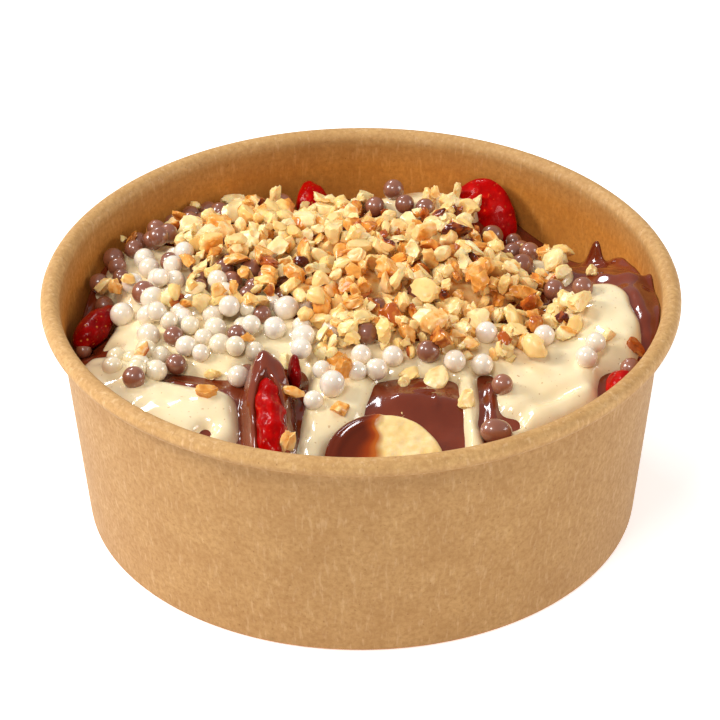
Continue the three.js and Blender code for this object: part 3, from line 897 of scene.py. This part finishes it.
def make_skin(x, y, top, bottom, keep):
    """A closed skin between two height fields over the kept cells of a ring grid."""
    corners = ring_cells(x.shape)[2]
    upper = corners[keep]
    lower = upper[:, ::-1] + x.size
    padded = np.pad(keep, ((1, 1), (0, 0)))
    # The cells on the four sides of each, and the two corners that it shares with them.
    neighbours = (
        (padded[:-2], (0, 3)),
        (padded[2:], (2, 1)),
        (np.roll(keep, 1, 1), (1, 0)),
        (np.roll(keep, -1, 1), (3, 2)),
    )
    sides = []
    for neighbour, (start, end) in neighbours:
        edge = corners[keep & ~neighbour]
        a, b = edge[:, start], edge[:, end]
        sides.append(np.stack([a, b, b + x.size, a + x.size], -1))
    used, faces = np.unique(np.concatenate([upper, lower, *sides]), return_inverse=True)
    points = np.concatenate([np.stack([x, y, z], -1).reshape(-1, 3) for z in (top, bottom)])
    return points[used], [faces.reshape(-1, 4)]


def cells_where(mask):
    """Cells of the ring grid with a corner in the mask."""
    beside = np.roll(mask, -1, 1)
    return mask[:-1] | mask[1:] | beside[:-1] | beside[1:]


# ---- Toppings ----
class Pile:
    """The height of everything laid down so far, on a square grid over the bowl."""

    def __init__(self):
        axis = np.arange(-RIM_RADIUS, RIM_RADIUS + PILE_CELL, PILE_CELL)
        self.x, self.y = np.meshgrid(axis, axis, indexing="ij")
        self.height = cover_height(self.x, self.y)

    def cells(self, x, y):
        places = [(value + RIM_RADIUS) / PILE_CELL + 0.5 for value in (x, y)]
        return tuple(np.clip(place.astype(int), 0, len(self.x) - 1) for place in places)

    def height_at(self, x, y):
        return self.height[self.cells(np.atleast_1d(x), np.atleast_1d(y))]

    def rest(self, points, x, y):
        """The height at which a body comes to rest, for its points about its middle."""
        needed = self.height_at(points[:, 0] + x, points[:, 1] + y) - points[:, 2]
        return np.quantile(needed, SETTLING)

    def cover(self, points):
        np.maximum.at(self.height, self.cells(points[:, 0], points[:, 1]), points[:, 2])


def keep_in_bowl(points):
    """Presses what would reach the wall flat against it."""
    radius = np.hypot(points[:, 0], points[:, 1])
    share = np.minimum(1, (inner_radius(points[:, 2]) - FOOD_CLEARANCE) / radius)
    return points * np.stack([share, share, np.ones(len(share))], -1)


def fits_bowl(points):
    return np.all(np.hypot(points[:, 0], points[:, 1]) < inner_radius(points[:, 2]) - WALL_MARGIN)


def scatter(rng, patch, tries, lay):
    """Lays bodies at random places of a patch until it has its number, or the tries run out."""
    *ellipse, count = patch
    found = 0
    for _ in range(tries * count):
        if found == count:
            return
        found += lay(*random_spot(rng, *ellipse))


class Pearls:
    def __init__(self, pile):
        self.pile = pile
        self.crowds = {"white": Crowd(), "milk": Crowd()}
        self.placed = []
        self.sphere = icosphere(4)
        self.rng = np.random.default_rng(SEED + 10)

    def lay(self, kind, x, y, radius, sunk, stretch=1.0, marked=True):
        points, faces = self.sphere
        spin = random_rotation(self.rng)
        shape = points * radius @ spin.T
        if stretch > 1:
            shape = points * radius * (1 + (stretch - 1) * (points @ spin[0])[:, None] ** 2)
        height = self.pile.rest(shape, x, y) - 2 * sunk * radius
        shape = shape + np.array([x, y, height])
        if not fits_bowl(shape):
            return False
        self.pile.cover(shape)
        self.crowds[kind].add(shape, faces, shade=self.rng.uniform(0, 1), tint=min(1, 2.2 * sunk))
        self.placed.append((x, y, height, radius, marked))
        return True

    def lay_random(self, kind, sunk, x, y):
        mean, spread, smallest, largest = PEARL_RADIUS
        radius = float(np.clip(self.rng.normal(mean, spread), smallest, largest))
        near = [math.hypot(x - p[0], y - p[1]) / (radius + p[3]) for p in self.placed]
        if near and min(near) < (PEARLS_APART if self.rng.uniform() < APART_SHARE else PEARLS_CROWDED):
            return False
        stretch = 1 + max(0.0, self.rng.normal(0.0, 0.06))
        return self.lay(kind, x, y, radius, sunk * self.rng.uniform(0.5, 1.5), stretch, False)


def nut_shape(seed, sphere, half_length, kind):
    """A chopped nut: flat breaks and scalloped bites, with the share of each place that is hollow."""
    rng = np.random.default_rng(seed)
    proportions = {
        name: (1, rng.uniform(*breadth), rng.uniform(*thickness))
        for name, (breadth, thickness, _) in NUT_KINDS.items()
    }
    usual = (0.72, int(rng.integers(4, 8)), 2)
    roundness, cuts, bites = {"half": (1.0, 2, 1), "crumb": (0.85, 5, 0)}.get(kind, usual)
    block = np.sign(sphere) * np.abs(sphere) ** roundness
    shape = block * np.array(proportions[kind])
    shape *= 1 + 0.1 * random_wave(rng, sphere, 2.4)[:, None]
    for _ in range(cuts):
        normal = random_direction(rng)
        reach = rng.uniform(*CUT_REACH) * np.max(shape @ normal)
        shape -= np.clip(shape @ normal - reach, 0, None)[:, None] * normal * 0.97
    for _ in range(bites):
        side = rng.normal(size=3) * (1, 1, 0.4)
        side /= np.linalg.norm(side)
        bite = rng.uniform(*BITE_RADIUS)
        middle = side * (np.max(shape @ side) + bite * rng.uniform(0.2, 0.7))
        away = shape - middle
        gap = np.linalg.norm(away, axis=1)[:, None]
        shape = np.where(gap < bite, middle + away / gap * bite, shape)
    hollow = sum(np.abs(random_wave(rng, sphere, stiffness)) for stiffness in (4.2, 5.6)) / 2
    grain = 0.02 * random_wave(rng, sphere, 12.0)
    depth = NUT_HOLLOW * (0.5 if kind == "half" else 1)
    return shape * (1 + grain - depth * hollow)[:, None] * half_length, hollow


class Nuts:
    def __init__(self, pile, pearls):
        self.pile = pile
        self.marked_pearls = [p for p in pearls.placed if p[4]]
        self.laid = []
        self.coarse = icosphere(2)
        self.fine = icosphere(3)
        self.rng = np.random.default_rng(SEED + 20)

    def hides_pearl(self, x, y, half_length):
        """True where a nut would lie on a pearl that shows, or right in front of it."""
        return any(
            math.hypot(x - px, y - py) < radius + 0.7 * half_length
            or math.hypot(x - px, y - py + 3) < radius + 0.3 * half_length
            for px, py, _, radius, _ in self.marked_pearls
        )

    def lay(self, x, y, half_length, toast, kind="chip", marked=False):
        points, faces = self.fine
        seed = int(self.rng.integers(1, 10**9))
        shape, _ = nut_shape(seed, points, half_length, kind)
        best, turn = None, None
        for _ in range(3):
            spin = random_rotation(self.rng)
            if marked and kind == "shard":
                spin = rotation((self.rng.uniform(-15, 15), -80, self.rng.uniform(-60, 60)))
            height = self.pile.rest(shape @ spin.T, x, y)
            if best is None or height < best:
                turn, best = spin, height
        sunk = MARKED_NUT_SUNK if marked else NUT_SUNK
        place = np.array([x, y, best - sunk * half_length])
        laid = shape @ turn.T + place
        limit = heap_height(x, y)[0] + HEAP_CARPET + HEAP_SLACK + 0.8 * half_length
        if (not marked and laid[:, 2].max() > limit) or not fits_bowl(laid):
            return False
        self.pile.cover(laid)
        self.pile.cover(laid[faces].mean(1))
        side = random_direction(self.rng)
        crust = 0.0 if marked else max(0.0, self.rng.normal(0.0, 0.45))
        self.laid.append(
            {
                "shape": (seed, half_length, kind),
                "turn": turn,
                "place": place,
                "toast": toast,
                "crust": (side, crust),
                "shade": self.rng.uniform(0, 1),
                "points": laid,
            }
        )
        return True

    def fill(self, crowd):
        """Adds the nuts that show to a crowd, the most exposed ones with the finer faces."""
        for nut in self.laid:
            points = nut["points"]
            covered = self.pile.height_at(points[:, 0], points[:, 1]) - points[:, 2]
            nut["shown"] = np.mean(covered < SHOWING_DEPTH) * nut["shape"][1] ** 2
        shown = [nut for nut in self.laid if nut["shown"] > LEAST_SHOWN]
        shown.sort(key=lambda nut: -nut["shown"])
        coarse, fine = len(self.coarse[1]), len(self.fine[1])
        fine_count = max(0, (NUT_TRIANGLES - coarse * len(shown)) // (fine - coarse))
        for index, nut in enumerate(shown):
            points, faces = self.fine if index < fine_count else self.coarse
            seed, half_length, kind = nut["shape"]
            shape, hollow = nut_shape(seed, points, half_length, kind)
            laid = shape @ nut["turn"].T + nut["place"]
            side, crust = nut["crust"]
            skin = smooth_step(points @ side, 0.2, 0.6) * crust
            # Painted shade: the hollows of a nut take more toast and its ridges less.
            toast = np.clip(nut["toast"] + skin + HOLLOW_PAINTED_SHADE * (hollow - 0.5), 0, 1)
            crowd.add(keep_in_bowl(laid), faces, toast=toast, shade=nut["shade"])

    def lay_random(self, x, y, half_length):
        """A nut of random toast and kind."""
        pick = self.rng.uniform()
        least, most = next(span for share, span in NUT_TOAST if pick < share)
        toast = self.rng.uniform(least, most)
        kind = self.rng.choice(list(NUT_KINDS), p=[share for _, _, share in NUT_KINDS.values()])
        return self.lay(x, y, half_length, toast, kind)

    def random_size(self):
        median, spread, smallest, largest = NUT_SIZE
        return float(np.clip(self.rng.lognormal(math.log(median), spread), smallest, largest))

    def heap_up(self, count):
        """Fills the heaps evenly: each nut goes where the pile is lowest under its outline."""
        for _ in range(count):
            half_length = self.random_size()
            best, lowest = None, -1e9
            for _ in range(9):
                heap = HEAPS[0] if self.rng.uniform() < FIRST_HEAP_SHARE else HEAPS[1]
                x, y = random_spot(self.rng, *heap[:4])
                if self.hides_pearl(x, y, half_length):
                    continue
                missing = (heap_height(x, y) + HEAP_CARPET - self.pile.height_at(x, y))[0]
                if missing > lowest:
                    best, lowest = (x, y), missing
            if best is not None and lowest > -0.5:
                self.lay_random(*best, half_length)

    def lay_loose(self, x, y):
        half_length = self.random_size()
        return not self.hides_pearl(x, y, half_length) and self.lay_random(x, y, half_length)


# ---- Fruit ----
def make_strawberry(name, size, place, turns, material, seed):
    half_length, half_width, half_depth, taper = size
    uneven, bright, pale = STRAWBERRY_LOOKS[name]
    sphere, faces = icosphere(5)
    rng = np.random.default_rng(seed)
    halves = np.array([half_width, half_length, half_depth])
    narrowed = 1 - taper * sphere[:, 1]
    shape = sphere * halves * np.stack([narrowed, np.ones(len(sphere)), narrowed], -1)
    rough = sum(random_wave(rng, shape, 0.75) for _ in range(16)) / 5.6
    shape += sphere * (uneven * rough)[:, None]
    dips = np.zeros(len(sphere))
    for index in range(PIPS):
        height = 1 - 2 * (index + rng.uniform(0.2, 0.8)) / PIPS
        turn = index * math.pi * (3 - math.sqrt(5)) + rng.uniform(-0.2, 0.2)
        ring = math.sqrt(1 - height * height)
        pip = np.array([ring * math.cos(turn), height, ring * math.sin(turn)])
        gap = np.linalg.norm((sphere - pip) * halves, axis=1)
        dips = np.maximum(dips, rng.uniform(0.6, 1.0) * np.exp(-((gap / PIP_RADIUS) ** 2)))
    shape -= sphere * PIP_DIP * dips[:, None]
    laid = keep_in_bowl(shape @ rotation(turns).T + np.array(place))
    looks = {"depth": dips, "bright": np.full(len(laid), bright), "pale": np.full(len(laid), pale)}
    add_piece(name + "_flesh", "strawberry", [name], material, laid, [faces], looks)


def make_banana(material):
    """A slice whose left part is coated in chocolate, thicker along its rim."""
    rings, turns = 60, 220
    turn = np.linspace(0, 2 * math.pi, turns, endpoint=False)
    share = np.linspace(0.01, 1, rings) ** 0.8
    outline = BANANA_RADIUS * (1 + 0.012 * np.cos(2 * turn + 1) + 0.008 * np.cos(5 * turn))
    face_radius = (outline - BANANA_BEVEL)[None, :] * share[:, None]
    x, y = face_radius * np.cos(turn), face_radius * np.sin(turn)
    edge_line = 0.6 + 0.7 * np.sin(y * 0.42 + 0.6) + 0.4 * np.sin(y * 1.1)
    blend = 2.4 + 3.4 * smooth_step(-y, -9, 2)
    coat = smooth_step(edge_line - x, 0, 2 * blend)
    core = np.exp(-(((face_radius - BANANA_CORE) / 1.1) ** 2))
    ring_mark = core * (0.5 + 0.5 * np.cos(3 * np.arctan2(y, x))) * 0.8
    lumps = 0.16 * ripples(x, y, make_waves(SEED + 5, 9, 2, 5)) - 0.35 * ring_mark
    cover = smooth_step(coat, 0.02, 0.4)
    bead = 0.5 * np.exp(-((face_radius - BANANA_RADIUS + 2.2) ** 2)) * cover
    z = BANANA_HALF_THICKNESS - 0.35 + lumps * (1 - cover) + COAT_ON_FACE * cover + bead
    points = [np.stack([x, y, z], -1).reshape(-1, 3)]
    for drop, grow in BANANA_SIDE:
        radius = outline - BANANA_BEVEL * (1 - grow) + COAT_ON_SIDE * coat[-1] * grow
        height = z[-1] - drop * (z[-1] + BANANA_HALF_THICKNESS) / BANANA_SIDE[-1][0]
        points.append(np.stack([radius * np.cos(turn), radius * np.sin(turn), height], -1))
    points.append([[0, 0, z[0].mean()], [0, 0, -BANANA_HALF_THICKNESS]])
    down = len(BANANA_SIDE)
    looks = {
        "coat": np.concatenate([coat.ravel(), np.tile(coat[-1], down), [coat[0].mean(), 0]]),
        "ring": np.concatenate([ring_mark.ravel(), np.zeros(down * turns + 2)]),
    }
    laid = keep_in_bowl(np.concatenate(points) @ rotation((BANANA_TILT, 0, 0)).T + np.array(BANANA_AT))
    faces = closed_rings((rings + down, turns))
    add_piece("banana_slice_coated", "banana", ["banana_slice"], material, laid, faces, looks)


def make_fruit():
    flesh = new_material("strawberry_flesh", strawberry_flesh)
    for number, (name, (size, place, turns)) in enumerate(STRAWBERRIES.items()):
        make_strawberry(name, size, place, turns, flesh, SEED + 40 + number)
    make_banana(new_material("banana_and_coat", banana_and_coat))


# ---- The food under and over them ----
def make_pearls(pile):
    pearls = Pearls(pile)
    for kind, marks in (("white", WHITE_PEARLS), ("milk", MILK_PEARLS)):
        for mark in marks:
            pearls.lay(kind, *mark)
    for kind, patches in (("milk", MILK_PATCHES), ("white", WHITE_PATCHES)):
        for *patch, sunk in patches:
            scatter(pearls.rng, patch, PEARL_TRIES, partial(pearls.lay_random, kind, sunk))
    for kind, look in (("white", white_pearl), ("milk", milk_pearl)):
        material = new_material(kind + "_pearl", look)
        parts = pearls.crowds[kind].mesh_parts()
        add_piece(kind + "_pearl_topping", kind + "_pearls", None, material, *parts)
    return pearls


def make_sauces(x, y, pearls):
    """The chocolate with the pancakes under it, and the white sauce with a collar round each pearl."""
    bed = bed_height(x, y)
    thickness = sauce_thickness(x, y)
    collar, width = PEARL_COLLAR
    for px, py, height, radius, _ in pearls.placed:
        surface = float(cover_height(np.array([px]), np.array([py]))[0])
        sunk = surface - (height - radius)
        if 0.2 < sunk < 2 * radius:
            contact = math.sqrt(max(radius**2 - (radius - sunk) ** 2, 0.1))
            off = (np.hypot(x - px, y - py) - contact) / width
            thickness += collar * np.exp(-(off**2)) * (thickness > 0)
    milk = new_material("milk_chocolate_sauce", milk_chocolate_sauce)
    block = make_block(x, y, bed, BASE_DISC_TOP + GAP)
    add_piece("chocolate_pancakes", "milk_chocolate", ["pancakes"], milk, *block)

    top = bed + thickness
    white = new_material("white_chocolate_sauce", white_chocolate_sauce)
    skin = make_skin(x, y, top, np.minimum(bed - 1.2, top - 0.3), cells_where(thickness > -0.9))
    add_piece("white_sauce_pour", "white_chocolate", ["white_sauce", "white_sauce_back"], white, *skin)


def make_nuts(x, y, pile, pearls):
    """A core, the nuts heaped on it, the loose ones round it and those that stand out."""
    x, y = (values[::CORE_RING_STEP, ::CORE_AZIMUTH_STEP] for values in (x, y))
    bed = bed_height(x, y)
    heap = heap_thickness(x, y)
    core = cover_height(x, y) + heap - HEAP_CORE_DROP + 0.7 * ripples(x, y, make_waves(SEED + 7, 12, 3, 6))
    keep = cells_where(core > bed - 0.4) & cells_where(heap > 0.5)
    points, face_sets = make_skin(x, y, core, bed - 1.0, keep)
    crowd = Crowd()
    # The core is coloured more toasted than most loose nuts, as painted shade in the gaps between them.
    crowd.add(points, face_sets[0], toast=0.3, shade=0.3)

    piled_core = cover_height(pile.x, pile.y) + heap_thickness(pile.x, pile.y) - HEAP_CORE_DROP
    pile.height = np.maximum(pile.height, piled_core)
    nuts = Nuts(pile, pearls)
    nuts.heap_up(HEAP_NUTS)
    for patch in NUT_PATCHES:
        scatter(nuts.rng, patch, NUT_TRIES, nuts.lay_loose)
    for mark in MARKED_NUTS:
        nuts.lay(*mark, marked=True)
    nuts.fill(crowd)
    material = new_material("chopped_nut", chopped_nut)
    add_piece("chopped_nut_topping", "chopped_nuts", ["nut_heap"], material, *crowd.mesh_parts(), NUT_CREASE)


# ---- Stage ----
def make_stage():
    square = ((-1, -1), (1, -1), (1, 1), (-1, 1))
    corners = [(x * FLOOR_HALF_SIZE, y * FLOOR_HALF_SIZE, -FLOOR_GAP) for x, y in square]
    floor = add_mesh("floor", new_material("pale_floor", pale_floor), corners, [np.array([[0, 1, 2, 3]])])


def turn_towards(aim, place):
    return (Vector(aim) - Vector(place)).to_track_quat("-Z", "Y")


def make_lights():
    for name, (place, size, power, colour) in LIGHTS.items():
        data = bpy.data.lights.new(name, "AREA")
        data.shape = "RECTANGLE"
        data.size, data.size_y = size
        data.energy = power
        data.color = colour
        add_object(name, data, place, turn_towards(LIGHTS_AIM, place))
    world = bpy.data.worlds.new("studio")
    world.use_nodes = True
    background = world.node_tree.nodes["Background"]
    background.inputs["Color"].default_value = (1, 1, 1, 1)
    background.inputs["Strength"].default_value = WORLD_LIGHT
    bpy.context.scene.world = world
    bpy.context.scene.view_settings.view_transform = "Standard"


def make_camera():
    data = bpy.data.cameras.new("camera")
    data.lens = CAMERA_LENS
    data.sensor_width = CAMERA_SENSOR
    turn = turn_towards(CAMERA_AIM, CAMERA_AT) @ Quaternion((0, 0, 1), math.radians(CAMERA_ROLL))
    bpy.context.scene.camera = add_object("camera", data, CAMERA_AT, turn)


make_bowl(new_material("kraft_paper", kraft_paper))
pile = Pile()
pearls = make_pearls(pile)
ring_x, ring_y = ring_grid()
make_sauces(ring_x, ring_y, pearls)
make_nuts(ring_x, ring_y, pile, pearls)
make_fruit()
make_stage()
make_lights()
make_camera()
